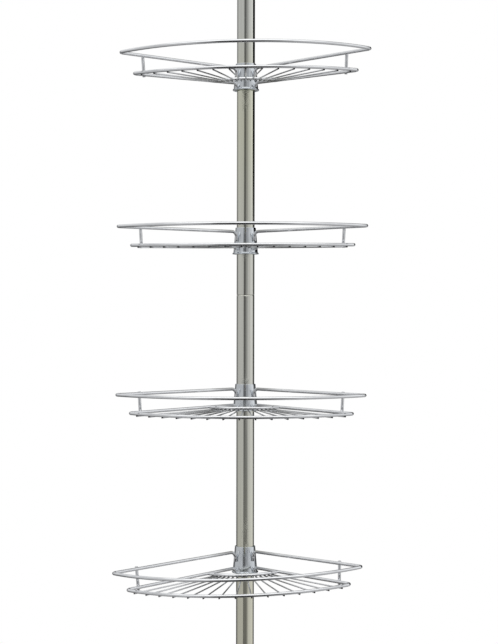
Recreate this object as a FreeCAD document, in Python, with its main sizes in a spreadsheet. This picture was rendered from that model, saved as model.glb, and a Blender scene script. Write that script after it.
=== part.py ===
import FreeCAD, Part
import Sketcher
import math
import os
from FreeCAD import Placement, Rotation, Vector

# A spring-loaded tension pole with four quarter-round wire baskets, for the corner of a shower.
# Millimetres. The origin is the middle of the floor pad's underside, +Z runs up the pole, and the
# baskets open towards -Y.

OUTPUT_FOLDER = "parts"
X_AXIS = Vector(1, 0, 0)
Y_AXIS = Vector(0, 1, 0)
Z_AXIS = Vector(0, 0, 1)
ON_AXIS = None     # a radius or height of zero in an outline

# ---------------------------------------------------------------- driving dimensions
DIMENSIONS = {
    # the pole: two outer tubes butted together over a sleeve
    "overall_height": 1524,
    "seam_height": 754,
    "pole_radius": 11.1,
    "tube_wall": 0.8,
    "tube_chamfer": 0.45,
    "snug_gap": 0.05,
    "running_gap": 0.08,
    "upper_tube_length": 682,
    "connector_length": 80,
    "connector_bore": 8.8,
    # rubber pads at both ends, with a ring-shaped tread in the outer face
    "pad_radius": 26,
    "pad_rim": 24.8,
    "pad_height": 5,
    "pad_edge": 1.2,
    "tread_inner": 14,
    "tread_outer": 16,
    "tread_depth": 1,
    # the sockets that hold the pads
    "socket_foot": 22,
    "socket_flange": 3,
    "socket_neck": 16.5,
    "socket_shoulder": 6.5,
    "socket_mouth": 13.4,
    "floor_socket_height": 34,
    "socket_floor": 5,
    "ceiling_socket_height": 37,
    "ceiling_socket_bore": 9.9,
    "ceiling_socket_depth": 27,
    "plunger_pocket": 32,
    # the collar at the top of the outer tube
    "collar_radius": 12.7,
    "collar_height": 22,
    "collar_overlap": 12,
    "collar_chamfer": 1,
    # the telescoping inner tube and its twist lock
    "inner_tube_radius": 9.5,
    "inner_tube_foot": 852,
    "inner_tube_length": 626,
    "keeper_radius": 9,
    "keeper_height": 3,
    "stud_radius": 5,
    "sleeve_length": 36,
    "sleeve_play": 0.4,
    "sleeve_arc": 340,
    "lock_flange": 3,
    "plug_length": 20,
    # the spring and the plunger that presses the ceiling pad up
    "seat_height": 4,
    "seat_nose_radius": 4.6,
    "seat_nose_height": 10,
    "seat_foot": 1390,
    "spring_radius": 6.4,
    "spring_wire": 0.9,
    "spring_turns": 10,
    "plunger_foot": 1461.5,
    "plunger_radius": 7.9,
    "plunger_flange_radius": 8.4,
    "plunger_flange": 4,
    "plunger_bore": 5.5,
    "plunger_floor": 8,
    "bushing_length": 12,
    "bushing_lip": 2,
    # the basket's hub: a flared cone pressed from sheet, over two wedge-shaped clips
    "hub_height": 33,
    "hub_top_radius": 12.6,
    "hub_foot_radius": 15.2,
    "hub_foot_height": 2.6,
    "hub_lip_radius": 16.4,
    "hub_lip_chamfer": 0.6,
    "hub_lip_height": 1.6,
    "hub_bore_top": 11.75,
    "hub_bore_foot": 14.3,
    "hub_slot_width": 1.8,
    "hub_slot_depth": 8,
    "clip_foot": 1,
    "clip_length": 31,
    "clip_gap": 0.12,
    "clip_arc": 173,
    # the basket's wires
    "wire_radius": 1.9,
    "grid_wire_radius": 0.85,
    "post_radius": 1.75,
    "weld_bite": 0.3,
    "arm_angle": 45,
    "corner_radius": 6,
    "rim_front": 211.3,
    "rim_arc_radius": 190.2,
    "rim_hook_radius": 7,
    "rim_hook_run": 5,
    "rim_hook_end": 15.55,
    "base_front": 181.8,
    "base_arc_radius": 195,
    "base_hook_radius": 4.6,
    "base_hook_run": 0.4,
    "base_hook_end": 16.6,
    "inner_arc_radius": 60.5,
    "inner_arc_half_angle": 43.55,
    "grid_back_step": 5.25,
    "grid_front_step": 5.41,
    "grid_back_overhang": 2.4,
    "grid_front_overhang": 1.2,
    "post_left_distance": 164.5,
    "post_right_distance": 161.8,
    "post_lean": 4,
    "post_above_rim": 2.3,
    "post_below_base": 6.4,
    "lean_pivot": 12,
}

# ---------------------------------------------------------------- sizes that follow from them
DERIVED = {
    "tube_bore": "=pole_radius - tube_wall",
    "tube_end_radius": "=pole_radius - tube_chamfer",
    "tube_foot": "=pad_height + socket_floor",
    "lower_tube_length": "=seam_height - tube_foot",
    "lower_tube_shoulder": "=lower_tube_length - tube_chamfer",
    "connector_foot": "=seam_height - connector_length / 2",
    "connector_radius": "=tube_bore - snug_gap",
    "pad_shoulder": "=pad_height - pad_edge",
    "socket_bore": "=pole_radius + snug_gap",
    "collar_foot": "=seam_height + upper_tube_length - collar_overlap",
    "collar_shoulder": "=collar_height - collar_chamfer",
    "collar_top_radius": "=collar_radius - collar_chamfer",
    "collar_bore": "=inner_tube_radius + running_gap",
    "inner_tube_bore": "=inner_tube_radius - tube_wall",
    "inner_fit_radius": "=inner_tube_bore - snug_gap",
    "stud_top": "=keeper_height + sleeve_length + 2 * sleeve_play",
    "lock_flange_top": "=stud_top + lock_flange",
    "plug_top": "=lock_flange_top + plug_length",
    "lock_foot": "=inner_tube_foot - lock_flange_top",
    "sleeve_foot": "=lock_foot + keeper_height + sleeve_play",
    "sleeve_radius": "=tube_bore - running_gap",
    "sleeve_bore": "=stud_radius + running_gap",
    "spring_foot": "=seat_foot + seat_height",
    "spring_inset": "=spring_wire + snug_gap",
    "spring_rise": "=plunger_foot - spring_foot - 2 * spring_inset",
    "spring_pitch": "=spring_rise / spring_turns",
    "ceiling_socket_foot": "=overall_height - pad_height - ceiling_socket_height",
    "ceiling_flange_foot": "=ceiling_socket_height - socket_flange",
    "ceiling_shoulder": "=ceiling_socket_height - socket_shoulder",
    "plunger_length": "=ceiling_socket_foot + plunger_pocket - plunger_foot",
    "plunger_pocket_radius": "=plunger_radius + snug_gap",
    "bushing_foot": "=inner_tube_foot + inner_tube_length - bushing_length",
    "bushing_height": "=bushing_length + bushing_lip",
    "bushing_bore": "=plunger_radius + running_gap",
    "hub_lip_edge": "=hub_lip_radius - hub_lip_chamfer",
    "hub_slot_foot": "=hub_height - hub_slot_depth",
    "clip_bore": "=pole_radius + running_gap",
    "clip_top": "=clip_foot + clip_length",
    "hub_bore_slope": "=(hub_bore_foot - hub_bore_top) / hub_height",
    "clip_foot_radius": "=hub_bore_foot - hub_bore_slope * clip_foot - clip_gap",
    "clip_top_radius": "=hub_bore_foot - hub_bore_slope * clip_top - clip_gap",
    "rim_hook_start": "=rim_hook_end + rim_hook_radius",
    "base_hook_start": "=base_hook_end + base_hook_radius",
    "grid_drop": "=wire_radius + grid_wire_radius - weld_bite",
    "grid_shift": "=base_arc_radius - base_front",
    "post_offset": "=wire_radius + post_radius - weld_bite",
}

# Height of the hub's foot, turn about the pole and sideways lean of the wires in degrees, the
# planes of the rim and the floor above the hub's foot, and how far the floor drops to the front
# in degrees. The baskets differ a little, as hand-welded ones do.
SHELF_SIZES = ("height", "turn", "lean", "rim_plane", "base_plane", "droop")
SHELVES = {
    "shelf_1": (1006.6, 0.0, 1.0, 26.4, 8.5, 1.95),
    "shelf_2": (804.1, -1.4, 0.2, 27.8, 10.3, 1.6),
    "shelf_3": (610.5, -2.0, 0.1, 27.4, 7.8, 1.1),
    "shelf_4": (409.4, -3.4, 2.2, 27.3, 7.6, 1.1),
}
GRID_WIRES_EACH_SIDE = 7

doc = FreeCAD.newDocument("shower_caddy")
sheet = doc.addObject("Spreadsheet::Sheet", "dims")
pieces = []        # every finished sub-part, in the order it is made


def fill_sheet():
    """Write every dimension to the sheet, one row each, under its own name."""
    rows = dict(DIMENSIONS)
    for shelf, values in SHELVES.items():
        for name, value in zip(SHELF_SIZES, values):
            rows["%s_%s" % (shelf, name)] = value
    rows.update(DERIVED)
    for row, (name, content) in enumerate(rows.items(), start=1):
        sheet.set("A%d" % row, name)
        sheet.set("B%d" % row, str(content))
        sheet.setAlias("B%d" % row, name)
    doc.recompute()


def size(name):
    """The value of one named dimension."""
    return float(sheet.get(name))


# ---------------------------------------------------------------- sketches
def add_sketch(body, name, plane_role, offset=Placement()):
    """A sketch on one of the body's own origin planes."""
    planes = [item for item in body.Origin.OriginFeatures if item.Role == plane_role]
    sketch = body.newObject("Sketcher::SketchObject", name)
    sketch.AttachmentSupport = [(planes[0], "")]
    sketch.MapMode = "FlatFace"
    sketch.AttachmentOffset = offset
    return sketch


def drive(sketch, constraint, expression):
    """Add a dimension to a sketch and bind it to the sheet."""
    index = sketch.addConstraint(constraint)
    sketch.setExpression("Constraints[%d]" % index, expression)


def pin_point(sketch, edge, end, across, up):
    """Hold one end of an edge at the named distances across and up from the sketch's origin."""
    if across is ON_AXIS:
        sketch.addConstraint(Sketcher.Constraint("PointOnObject", edge, end, -2))
    else:
        drive(sketch, Sketcher.Constraint("DistanceX", -1, 1, edge, end, size(across)), "dims." + across)
    if up is ON_AXIS:
        sketch.addConstraint(Sketcher.Constraint("PointOnObject", edge, end, -1))
    else:
        drive(sketch, Sketcher.Constraint("DistanceY", -1, 1, edge, end, size(up)), "dims." + up)


def draw_outline(sketch, outline):
    """A closed outline of straight edges through named points."""
    points = []
    for across, up in outline:
        points.append(Vector(size(across) if across else 0, size(up) if up else 0, 0))
    count = len(points)
    for index in range(count):
        sketch.addGeometry(Part.LineSegment(points[index], points[(index + 1) % count]))
    for index in range(count):
        sketch.addConstraint(Sketcher.Constraint("Coincident", index, 2, (index + 1) % count, 1))
    for index, (across, up) in enumerate(outline):
        pin_point(sketch, index, 1, across, up)


def draw_circle(sketch, radius):
    """A circle of a named radius round the sketch's origin."""
    sketch.addGeometry(Part.Circle(Vector(0, 0, 0), Z_AXIS, size(radius)))
    sketch.addConstraint(Sketcher.Constraint("Coincident", 0, 3, -1, 1))
    drive(sketch, Sketcher.Constraint("Radius", 0, size(radius)), "dims." + radius)


# ---------------------------------------------------------------- bodies
def new_body(label, height=None, placement=None):
    """A body that stands at a named height, or at a placement that is worked out."""
    body = doc.addObject("PartDesign::Body", label)
    body.Label = label
    if placement is not None:
        body.Placement = placement
    if height is not None:
        body.setExpression(".Placement.Base.z", "dims." + height)
    pieces.append(body)
    return body


def revolve(body, outline, angle=None):
    """Turn an outline of (radius, height) names about the body's Z axis."""
    sketch = add_sketch(body, body.Label + "_outline", "XZ_Plane")
    draw_outline(sketch, outline)
    turned = body.newObject("PartDesign::Revolution", body.Label + "_turned")
    turned.Profile = sketch
    turned.ReferenceAxis = (sketch, ["V_Axis"])
    turned.Angle = 360
    if angle is not None:
        turned.Midplane = True
        turned.setExpression("Angle", "dims." + angle)
    body.Tip = turned
    return body


def turned_piece(label, height, outline, angle=None, placement=None):
    """A turned piece in a body of its own."""
    return revolve(new_body(label, height, placement), outline, angle)


# ---------------------------------------------------------------- the pole
def make_pads():
    """The same rubber pad at the floor and, turned over, at the ceiling."""
    outline = [
        (ON_AXIS, ON_AXIS), ("tread_inner", ON_AXIS), ("tread_inner", "tread_depth"),
        ("tread_outer", "tread_depth"), ("tread_outer", ON_AXIS), ("pad_rim", ON_AXIS),
        ("pad_radius", "pad_edge"), ("pad_radius", "pad_shoulder"), ("pad_rim", "pad_height"),
        (ON_AXIS, "pad_height"),
    ]
    turned_piece("floor_pad", None, outline)
    upside_down = Placement(Vector(0, 0, 0), Rotation(X_AXIS, 180))
    turned_piece("ceiling_pad", "overall_height", outline, placement=upside_down)


def make_sockets():
    """The cup round the pole's foot, and the cup that the plunger carries at the top."""
    turned_piece("floor_socket", "pad_height", [
        (ON_AXIS, ON_AXIS), ("socket_foot", ON_AXIS), ("socket_foot", "socket_flange"),
        ("socket_neck", "socket_shoulder"), ("socket_mouth", "floor_socket_height"),
        ("socket_bore", "floor_socket_height"), ("socket_bore", "socket_floor"),
        (ON_AXIS, "socket_floor"),
    ])
    turned_piece("ceiling_socket", "ceiling_socket_foot", [
        ("ceiling_socket_bore", ON_AXIS), ("socket_mouth", ON_AXIS),
        ("socket_neck", "ceiling_shoulder"), ("socket_foot", "ceiling_flange_foot"),
        ("socket_foot", "ceiling_socket_height"), (ON_AXIS, "ceiling_socket_height"),
        (ON_AXIS, "plunger_pocket"), ("plunger_pocket_radius", "plunger_pocket"),
        ("plunger_pocket_radius", "ceiling_socket_depth"),
        ("ceiling_socket_bore", "ceiling_socket_depth"),
    ])


def make_outer_tubes():
    """Two tubes whose chamfered ends leave a fine groove, the sleeve inside and the collar."""
    turned_piece("lower_tube", "tube_foot", [
        ("tube_bore", ON_AXIS), ("pole_radius", ON_AXIS), ("pole_radius", "lower_tube_shoulder"),
        ("tube_end_radius", "lower_tube_length"), ("tube_bore", "lower_tube_length"),
    ])
    turned_piece("upper_tube", "seam_height", [
        ("tube_bore", ON_AXIS), ("tube_end_radius", ON_AXIS), ("pole_radius", "tube_chamfer"),
        ("pole_radius", "upper_tube_length"), ("tube_bore", "upper_tube_length"),
    ])
    turned_piece("tube_connector", "connector_foot", [
        ("connector_bore", ON_AXIS), ("connector_radius", ON_AXIS),
        ("connector_radius", "connector_length"), ("connector_bore", "connector_length"),
    ])
    turned_piece("guide_collar", "collar_foot", [
        ("socket_bore", ON_AXIS), ("collar_radius", ON_AXIS), ("collar_radius", "collar_shoulder"),
        ("collar_top_radius", "collar_height"), ("collar_bore", "collar_height"),
        ("collar_bore", "collar_overlap"), ("socket_bore", "collar_overlap"),
    ])


def make_telescope():
    """The inner tube, the plug in its foot and the split sleeve that the plug's stud turns in."""
    turned_piece("inner_tube", "inner_tube_foot", [
        ("inner_tube_bore", ON_AXIS), ("inner_tube_radius", ON_AXIS),
        ("inner_tube_radius", "inner_tube_length"), ("inner_tube_bore", "inner_tube_length"),
    ])
    turned_piece("lock_plug", "lock_foot", [
        (ON_AXIS, ON_AXIS), ("keeper_radius", ON_AXIS), ("keeper_radius", "keeper_height"),
        ("stud_radius", "keeper_height"), ("stud_radius", "stud_top"),
        ("inner_tube_radius", "stud_top"), ("inner_tube_radius", "lock_flange_top"),
        ("inner_fit_radius", "lock_flange_top"), ("inner_fit_radius", "plug_top"),
        (ON_AXIS, "plug_top"),
    ])
    turned_piece("lock_sleeve", "sleeve_foot", [
        ("sleeve_bore", ON_AXIS), ("sleeve_radius", ON_AXIS), ("sleeve_radius", "sleeve_length"),
        ("sleeve_bore", "sleeve_length"),
    ], angle="sleeve_arc")


def make_spring_end():
    """The seat, the coil spring, the plunger it pushes and the bushing in the tube's mouth."""
    turned_piece("spring_seat", "seat_foot", [
        (ON_AXIS, ON_AXIS), ("inner_fit_radius", ON_AXIS), ("inner_fit_radius", "seat_height"),
        ("seat_nose_radius", "seat_height"), ("seat_nose_radius", "seat_nose_height"),
        (ON_AXIS, "seat_nose_height"),
    ])
    turned_piece("plunger", "plunger_foot", [
        (ON_AXIS, ON_AXIS), ("plunger_flange_radius", ON_AXIS),
        ("plunger_flange_radius", "plunger_flange"), ("plunger_radius", "plunger_flange"),
        ("plunger_radius", "plunger_length"), ("plunger_bore", "plunger_length"),
        ("plunger_bore", "plunger_floor"), (ON_AXIS, "plunger_floor"),
    ])
    turned_piece("plunger_bushing", "bushing_foot", [
        ("bushing_bore", ON_AXIS), ("inner_fit_radius", ON_AXIS),
        ("inner_fit_radius", "bushing_length"), ("inner_tube_radius", "bushing_length"),
        ("inner_tube_radius", "bushing_height"), ("bushing_bore", "bushing_height"),
    ])
    body = new_body("tension_spring", "spring_foot")
    section = add_sketch(body, "spring_section", "XZ_Plane")
    centre = Vector(size("spring_radius"), size("spring_inset"), 0)
    section.addGeometry(Part.Circle(centre, Z_AXIS, size("spring_wire")))
    pin_point(section, 0, 3, "spring_radius", "spring_inset")
    drive(section, Sketcher.Constraint("Radius", 0, size("spring_wire")), "dims.spring_wire")
    coil = body.newObject("PartDesign::AdditiveHelix", "spring_coil")
    coil.Profile = section
    coil.ReferenceAxis = (section, ["V_Axis"])
    coil.Mode = "pitch-height-angle"
    coil.setExpression("Pitch", "dims.spring_pitch")
    coil.setExpression("Height", "dims.spring_rise")
    body.Tip = coil


# ---------------------------------------------------------------- the baskets
def hub_placement(shelf, turn=0):
    """Where a shelf's hub stands, turned about the pole by the shelf's angle and any more."""
    turned_by = Rotation(Z_AXIS, size(shelf + "_turn") + turn)
    return Placement(Vector(0, 0, size(shelf + "_height")), turned_by)


def wire_placement(shelf):
    """Where a shelf's wires stand: on the hub, leaning sideways about a point inside it."""
    pivot = Vector(0, 0, size("lean_pivot"))
    leaning = Placement(Vector(0, 0, 0), Rotation(Y_AXIS, -size(shelf + "_lean")), pivot)
    return hub_placement(shelf).multiply(leaning)


def base_placement(shelf):
    """The plane of the basket's floor, which drops towards the front."""
    height = Vector(0, 0, size(shelf + "_base_plane"))
    drooping = Placement(height, Rotation(X_AXIS, size(shelf + "_droop")))
    return wire_placement(shelf).multiply(drooping)


def rim_placement(shelf):
    """The plane of the basket's rim."""
    height = Vector(0, 0, size(shelf + "_rim_plane"))
    return wire_placement(shelf).multiply(Placement(height, Rotation()))


def make_hub(shelf):
    """The flared cone with the short slot at the front of its top edge."""
    body = turned_piece(shelf + "_hub", None, [
        ("hub_bore_foot", ON_AXIS), ("hub_lip_edge", ON_AXIS),
        ("hub_lip_radius", "hub_lip_chamfer"), ("hub_lip_radius", "hub_lip_height"),
        ("hub_foot_radius", "hub_foot_height"), ("hub_top_radius", "hub_height"),
        ("hub_bore_top", "hub_height"),
    ], placement=hub_placement(shelf))
    across = size("hub_slot_width") / 2
    foot = size("hub_slot_foot")
    top = size("hub_height")
    sketch = add_sketch(body, body.Label + "_slot_outline", "XZ_Plane")
    corners = [Vector(-across, foot, 0), Vector(across, foot, 0), Vector(across, top, 0),
               Vector(-across, top, 0)]
    for index in range(4):
        sketch.addGeometry(Part.LineSegment(corners[index], corners[(index + 1) % 4]))
    for index in range(4):
        sketch.addConstraint(Sketcher.Constraint("Coincident", index, 2, (index + 1) % 4, 1))
    sketch.addConstraint(Sketcher.Constraint("Symmetric", 0, 1, 0, 2, -2))
    for index, direction in ((1, "Vertical"), (2, "Horizontal"), (3, "Vertical")):
        sketch.addConstraint(Sketcher.Constraint(direction, index))
    drive(sketch, Sketcher.Constraint("DistanceX", 0, 1, 0, 2, 2 * across), "dims.hub_slot_width")
    drive(sketch, Sketcher.Constraint("DistanceY", -1, 1, 0, 1, foot), "dims.hub_slot_foot")
    drive(sketch, Sketcher.Constraint("DistanceY", -1, 1, 2, 1, top), "dims.hub_height")
    slot = body.newObject("PartDesign::Pocket", body.Label + "_slot")
    slot.Profile = sketch
    slot.Type = "ThroughAll"
    slot.Reversed = True
    body.Tip = slot


def make_clips(shelf):
    """The two halves of the wedge that grips the pole, parted at the front and the back."""
    for side, turn in (("right", 0), ("left", 180)):
        turned_piece(shelf + "_clip_" + side, None, [
            ("clip_bore", "clip_foot"), ("clip_foot_radius", "clip_foot"),
            ("clip_top_radius", "clip_top"), ("clip_bore", "clip_top"),
        ], angle="clip_arc", placement=hub_placement(shelf, turn))


def pipe(body, name, path, radius):
    """Sweep a round section along a path sketch, starting square to its first edge."""
    section = body.newObject("Sketcher::SketchObject", name + "_section")
    section.AttachmentSupport = [(path, "Edge1")]
    section.MapMode = "NormalToEdge"
    section.MapPathParameter = 0
    draw_circle(section, radius)
    swept = body.newObject("PartDesign::AdditivePipe", name)
    swept.Profile = section
    swept.Spine = path
    body.Tip = swept


def draw_quarter_loop(sketch, kind):
    """Arm, corner, front arc, corner and arm, as one open path in the plane of the wire."""
    start = size(kind + "_hook_start")
    arc = size(kind + "_arc_radius")
    shift = size(kind + "_front") - arc
    corner = size("corner_radius")
    half_angle = math.radians(size("arm_angle"))
    left_arm = Vector(-math.sin(half_angle), -math.cos(half_angle), 0)
    inward = Vector(math.cos(half_angle), -math.sin(half_angle), 0)
    arc_centre = Vector(0, -shift, 0)
    # the corner's centre is one corner radius from the arm and from the front arc
    offset = inward * corner - arc_centre
    along = offset.dot(left_arm)
    reach = -along + math.sqrt(along ** 2 - offset.dot(offset) + (arc - corner) ** 2)
    left_centre = left_arm * reach + inward * corner
    right_centre = Vector(-left_centre.x, left_centre.y, 0)
    left_end = math.atan2(left_centre.y - arc_centre.y, left_centre.x) + 2 * math.pi
    right_start = 3 * math.pi - left_end
    hub_left = left_arm * start
    corner_left = left_arm * reach
    hub_right = Vector(-hub_left.x, hub_left.y, 0)
    corner_right = Vector(-corner_left.x, corner_left.y, 0)
    arm_side = math.pi - half_angle
    far_side = 2 * math.pi + half_angle
    sketch.addGeometry(Part.LineSegment(hub_left, corner_left))
    sketch.addGeometry(Part.ArcOfCircle(Part.Circle(left_centre, Z_AXIS, corner), arm_side, left_end))
    sketch.addGeometry(Part.ArcOfCircle(Part.Circle(arc_centre, Z_AXIS, arc), left_end, right_start))
    sketch.addGeometry(Part.ArcOfCircle(Part.Circle(right_centre, Z_AXIS, corner), right_start, far_side))
    sketch.addGeometry(Part.LineSegment(corner_right, hub_right))
    for edge in range(4):
        sketch.addConstraint(Sketcher.Constraint("Tangent", edge, 2, edge + 1, 1))
    for arm in (0, 4):
        sketch.addConstraint(Sketcher.Constraint("PointOnObject", -1, 1, arm))
    sketch.addConstraint(Sketcher.Constraint("Symmetric", 0, 1, 4, 2, -2))
    sketch.addConstraint(Sketcher.Constraint("Equal", 1, 3))
    sketch.addConstraint(Sketcher.Constraint("PointOnObject", 2, 3, -2))
    shift_rule = "dims.%s_arc_radius - dims.%s_front" % (kind, kind)
    across_rule = "dims.%s_hook_start * sin(dims.arm_angle)" % kind
    up_rule = "-dims.%s_hook_start * cos(dims.arm_angle)" % kind
    drive(sketch, Sketcher.Constraint("DistanceY", -1, 1, 2, 3, -shift), shift_rule)
    drive(sketch, Sketcher.Constraint("DistanceX", -1, 1, 4, 2, hub_right.x), across_rule)
    drive(sketch, Sketcher.Constraint("DistanceY", -1, 1, 4, 2, hub_right.y), up_rule)
    drive(sketch, Sketcher.Constraint("Radius", 1, corner), "dims.corner_radius")
    drive(sketch, Sketcher.Constraint("Radius", 2, arc), "dims.%s_arc_radius" % kind)


def draw_hook(sketch, kind):
    """A quarter bend from the arm to a short run down the side of the hub."""
    start = size(kind + "_hook_start")
    bend = size(kind + "_hook_radius")
    run = size(kind + "_hook_run")
    end = start - bend
    bend_circle = Part.Circle(Vector(start, -bend, 0), Z_AXIS, bend)
    sketch.addGeometry(Part.ArcOfCircle(bend_circle, math.pi / 2, math.pi))
    sketch.addGeometry(Part.LineSegment(Vector(end, -bend, 0), Vector(end, -bend - run, 0)))
    sketch.addConstraint(Sketcher.Constraint("PointOnObject", 0, 1, -1))
    sketch.addConstraint(Sketcher.Constraint("Vertical", 0, 3, 0, 1))
    sketch.addConstraint(Sketcher.Constraint("Tangent", 0, 2, 1, 1))
    sketch.addConstraint(Sketcher.Constraint("Vertical", 1))
    drive(sketch, Sketcher.Constraint("DistanceX", -1, 1, 0, 3, start), "dims.%s_hook_start" % kind)
    drive(sketch, Sketcher.Constraint("Radius", 0, bend), "dims.%s_hook_radius" % kind)
    drive(sketch, Sketcher.Constraint("DistanceY", 1, 2, 1, 1, run), "dims.%s_hook_run" % kind)


def make_quarter_wire(shelf, kind, placement):
    """One bent wire of the basket: the rim, or the edge of its floor."""
    body = new_body("%s_%s_wire" % (shelf, kind), placement=placement)
    path = add_sketch(body, body.Label + "_path", "XY_Plane")
    draw_quarter_loop(path, kind)
    pipe(body, body.Label + "_loop", path, "wire_radius")
    arm_angle = size("arm_angle")
    for side, azimuth in (("left", -90 - arm_angle), ("right", -90 + arm_angle)):
        upright = Placement(Vector(0, 0, 0), Rotation(Y_AXIS, azimuth))
        hook = add_sketch(body, "%s_%s_hook" % (body.Label, side), "XZ_Plane", upright)
        draw_hook(hook, kind)
        pipe(body, "%s_%s_end" % (body.Label, side), hook, "wire_radius")


def make_inner_arc(shelf):
    """The short arc near the hub that joins the two arms and carries the grid's back ends."""
    body = new_body(shelf + "_inner_arc", placement=base_placement(shelf))
    path = add_sketch(body, body.Label + "_path", "XY_Plane")
    radius = size("inner_arc_radius")
    half_angle = math.radians(size("inner_arc_half_angle"))
    middle = 1.5 * math.pi
    circle = Part.Circle(Vector(0, 0, 0), Z_AXIS, radius)
    path.addGeometry(Part.ArcOfCircle(circle, middle - half_angle, middle + half_angle))
    path.addConstraint(Sketcher.Constraint("Coincident", 0, 3, -1, 1))
    path.addConstraint(Sketcher.Constraint("Symmetric", 0, 1, 0, 2, -2))
    half_width = radius * math.sin(half_angle)
    width_rule = "dims.inner_arc_radius * sin(dims.inner_arc_half_angle)"
    drive(path, Sketcher.Constraint("Radius", 0, radius), "dims.inner_arc_radius")
    drive(path, Sketcher.Constraint("DistanceX", -1, 1, 0, 2, half_width), width_rule)
    pipe(body, body.Label + "_pipe", path, "wire_radius")


def rod(label, radius, length_rule, start, direction):
    """A straight rod of a named radius, from a start point along a direction."""
    cylinder = doc.addObject("Part::Cylinder", label)
    cylinder.Placement = Placement(start, Rotation(Z_AXIS, direction))
    cylinder.setExpression("Radius", "dims." + radius)
    cylinder.setExpression("Height", length_rule)
    return cylinder


def group(label, rods, placement):
    """Identical rods as separate solids in one sub-part."""
    compound = doc.addObject("Part::Compound", label)
    compound.Label = label
    compound.Links = rods
    compound.Placement = placement
    pieces.append(compound)


def make_grid(shelf):
    """The thin wires that fan out from the inner arc to the front, welded underneath both arcs."""
    label = shelf + "_grid_wires"
    drop = Vector(0, 0, -size("grid_drop"))
    wires = []
    for index in range(-GRID_WIRES_EACH_SIDE, GRID_WIRES_EACH_SIDE + 1):
        back_angle = math.radians(index * size("grid_back_step"))
        front_angle = math.radians(index * size("grid_front_step"))
        back = Vector(math.sin(back_angle), -math.cos(back_angle), 0) * size("inner_arc_radius")
        front = Vector(math.sin(front_angle), -math.cos(front_angle), 0) * size("base_arc_radius")
        front.y += size("grid_shift")
        direction = (front - back).normalize()
        start = back - direction * size("grid_back_overhang") + drop
        back_rule = "(%d * dims.grid_back_step)" % index
        front_rule = "(%d * dims.grid_front_step)" % index
        across_rule = "(dims.base_arc_radius * sin(%s) - dims.inner_arc_radius * sin(%s))" % (
            front_rule, back_rule)
        forward_rule = (
            "(dims.base_arc_radius * cos(%s) - dims.grid_shift - dims.inner_arc_radius * cos(%s))" % (
                front_rule, back_rule))
        length_rule = "sqrt(%s ^ 2 + %s ^ 2) + dims.grid_back_overhang + dims.grid_front_overhang" % (
            across_rule, forward_rule)
        number = index + GRID_WIRES_EACH_SIDE + 1
        wires.append(rod("%s_%d" % (label, number), "grid_wire_radius", length_rule, start, direction))
    group(label, wires, base_placement(shelf))


def make_posts(shelf):
    """Two short uprights that tie the rim to the floor's edge, welded to the backs of the arms."""
    label = shelf + "_posts"
    arm_angle = math.radians(size("arm_angle"))
    lean = math.radians(size("post_lean"))
    foot = size(shelf + "_base_plane") - size("post_below_base")
    length_rule = "(dims.%s_rim_plane - dims.%s_base_plane + %s) / cos(dims.post_lean)" % (
        shelf, shelf, "dims.post_above_rim + dims.post_below_base")
    posts = []
    for side, sign in (("left", -1), ("right", 1)):
        along = Vector(sign * math.sin(arm_angle), -math.cos(arm_angle), 0)
        outward = Vector(sign * math.cos(arm_angle), math.sin(arm_angle), 0)
        start = along * size("post_%s_distance" % side) + outward * size("post_offset")
        start.z = foot
        direction = Z_AXIS * math.cos(lean) + along * math.sin(lean)
        posts.append(rod("%s_%s" % (label, side), "post_radius", length_rule, start, direction))
    group(label, posts, wire_placement(shelf))


def make_shelf(shelf):
    """One basket with its hub and the two clips under it."""
    make_clips(shelf)
    make_hub(shelf)
    make_quarter_wire(shelf, "rim", rim_placement(shelf))
    make_quarter_wire(shelf, "base", base_placement(shelf))
    make_inner_arc(shelf)
    make_grid(shelf)
    make_posts(shelf)


# ---------------------------------------------------------------- checking and writing
def check_document():
    """Stop if any object failed to recompute or any sub-part has no valid shape."""
    for item in doc.Objects:
        if "Invalid" in item.State or "Error" in item.State:
            raise RuntimeError("%s did not recompute: %s" % (item.Label, item.State))
    for piece in pieces:
        if piece.Shape.isNull() or not piece.Shape.isValid() or not piece.Shape.Solids:
            raise RuntimeError("%s has no valid solid" % piece.Label)
    for shelf in SHELVES:
        slot = doc.getObject(shelf + "_hub_slot")
        cone = doc.getObject(shelf + "_hub_turned")
        if slot.Shape.Volume >= cone.Shape.Volume:
            raise RuntimeError("%s has no slot" % shelf)


def write_parts():
    """One STEP file for each sub-part, under its label."""
    os.makedirs(OUTPUT_FOLDER, exist_ok=True)
    for piece in pieces:
        piece.Shape.exportStep(os.path.join(OUTPUT_FOLDER, piece.Label + ".step"))
        print("%-26s %3d solids %10.1f mm3" % (
            piece.Label, len(piece.Shape.Solids), piece.Shape.Volume))


fill_sheet()
make_pads()
make_sockets()
make_outer_tubes()
make_telescope()
make_spring_end()
for shelf in SHELVES:
    make_shelf(shelf)
doc.recompute()
check_document()
write_parts()
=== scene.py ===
import math
from collections import namedtuple
import bmesh
import bpy
from mathutils import Matrix, Vector


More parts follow.
